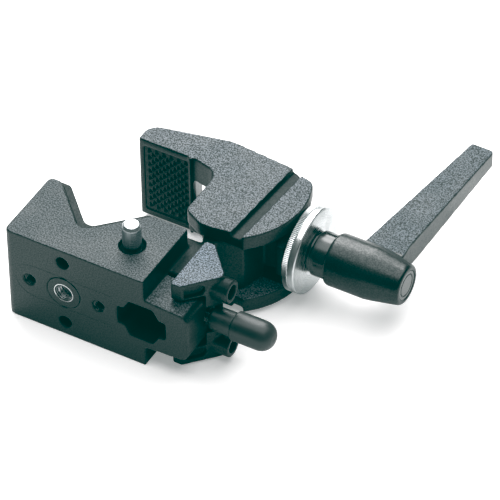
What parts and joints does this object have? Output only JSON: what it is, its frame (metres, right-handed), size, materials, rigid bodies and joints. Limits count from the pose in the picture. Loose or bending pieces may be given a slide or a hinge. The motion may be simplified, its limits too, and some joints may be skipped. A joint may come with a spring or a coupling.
{
  "type": "super clamp",
  "caption": "Lighting clamp with a swinging V jaw, padded fixed jaw, ratchet lever on a clamping screw, hex stud socket with safety latch, and a stored wedge.",
  "frame": {"origin": "centre of the hex stud socket's mouth, on the front face at mid thickness", "axes": "-Y points out of the stud socket; +Y runs to the fixed jaw; +X runs along the clamping screw towards the lever; Z is normal to the flat sides"},
  "size_m": [0.1278, 0.1366, 0.05],
  "materials": {
    "cast_black": "black powder coat with a fine grain",
    "pad_rubber": "moulded cross-hatched rubber",
    "zinc_bright": "bright zinc plate",
    "chrome_pin": "polished",
    "steel": "turned steel",
    "spring_steel": "drawn wire",
    "black_steel": "blackened, semi-gloss",
    "knob_plastic": "smooth satin black",
    "wedge_plastic": "moulded black, fine grain",
    "lever_black": "black powder coat with a fine grain"
  },
  "bodies": {
    "frame": {"fixed_jaw": "cast_black", "jaw_pad": "pad_rubber"},
    "jaw": {"moving_jaw": "cast_black", "barrel_nut": "steel", "centre_insert": "black_steel", "latch_spring": "spring_steel", "latch_plug": "black_steel"},
    "latch": {"latch_pin": "chrome_pin"},
    "lock_slide": {"lock_collar": "black_steel"},
    "lock_knob": {"lock_screw": "steel", "lock_knob": "knob_plastic"},
    "wedge": {"wedge_insert": "wedge_plastic"},
    "thrust": {"knurled_washer": "zinc_bright", "plain_washer": "zinc_bright"},
    "spindle": {"clamp_screw": "steel", "thrust_collar": "black_steel", "splined_insert": "black_steel", "lever_screw": "steel", "lever_spring": "spring_steel"},
    "lever": {"lever_handle": "lever_black", "hub_cap": "knob_plastic"}
  },
  "joints": [
    {"name": "jaw_swing", "type": "hinge", "parent": "frame", "child": "jaw", "pos_m": [-0.0004, 0.0618, 0], "axis": [0, 0, 1], "range_deg": [-50, 20]},
    {"name": "screw_advance", "type": "slide", "parent": "jaw", "child": "thrust", "axis": [1, 0, 0], "range_m": [0, 0.0025]},
    {"name": "lever_turn", "type": "hinge", "parent": "thrust", "child": "spindle", "pos_m": [0.04, 0.0618, 0], "axis": [1, 0, 0], "range_deg": [0, 720]},
    {"name": "lever_lift", "type": "slide", "parent": "spindle", "child": "lever", "axis": [1, 0, 0], "range_m": [0, 0.0042], "stiffness_N_per_m": 600, "springref_m": -0.002, "deforming": ["lever_spring"]},
    {"name": "latch_press", "type": "slide", "parent": "jaw", "child": "latch", "axis": [0, 0, -1], "range_m": [0, 0.0045], "stiffness_N_per_m": 400, "springref_m": -0.002, "deforming": ["latch_spring"]},
    {"name": "lock_advance", "type": "slide", "parent": "jaw", "child": "lock_slide", "axis": [1, 0, 0], "range_m": [-0.001, 0.003]},
    {"name": "lock_turn", "type": "hinge", "parent": "lock_slide", "child": "lock_knob", "pos_m": [0.03, 0.0151, 0], "axis": [1, 0, 0], "range_deg": [-361, 1081]},
    {"name": "wedge_release", "type": "slide", "parent": "jaw", "child": "wedge", "axis": [1, 0, 0], "range_m": [0, 0.045]}
  ],
  "couplings": [
    {"joint": "screw_advance", "follows": "lever_turn", "m_per_rad": 0.00019894},
    {"joint": "lock_turn", "follows": "lock_advance", "rad_per_m": 6283.2}
  ]
}
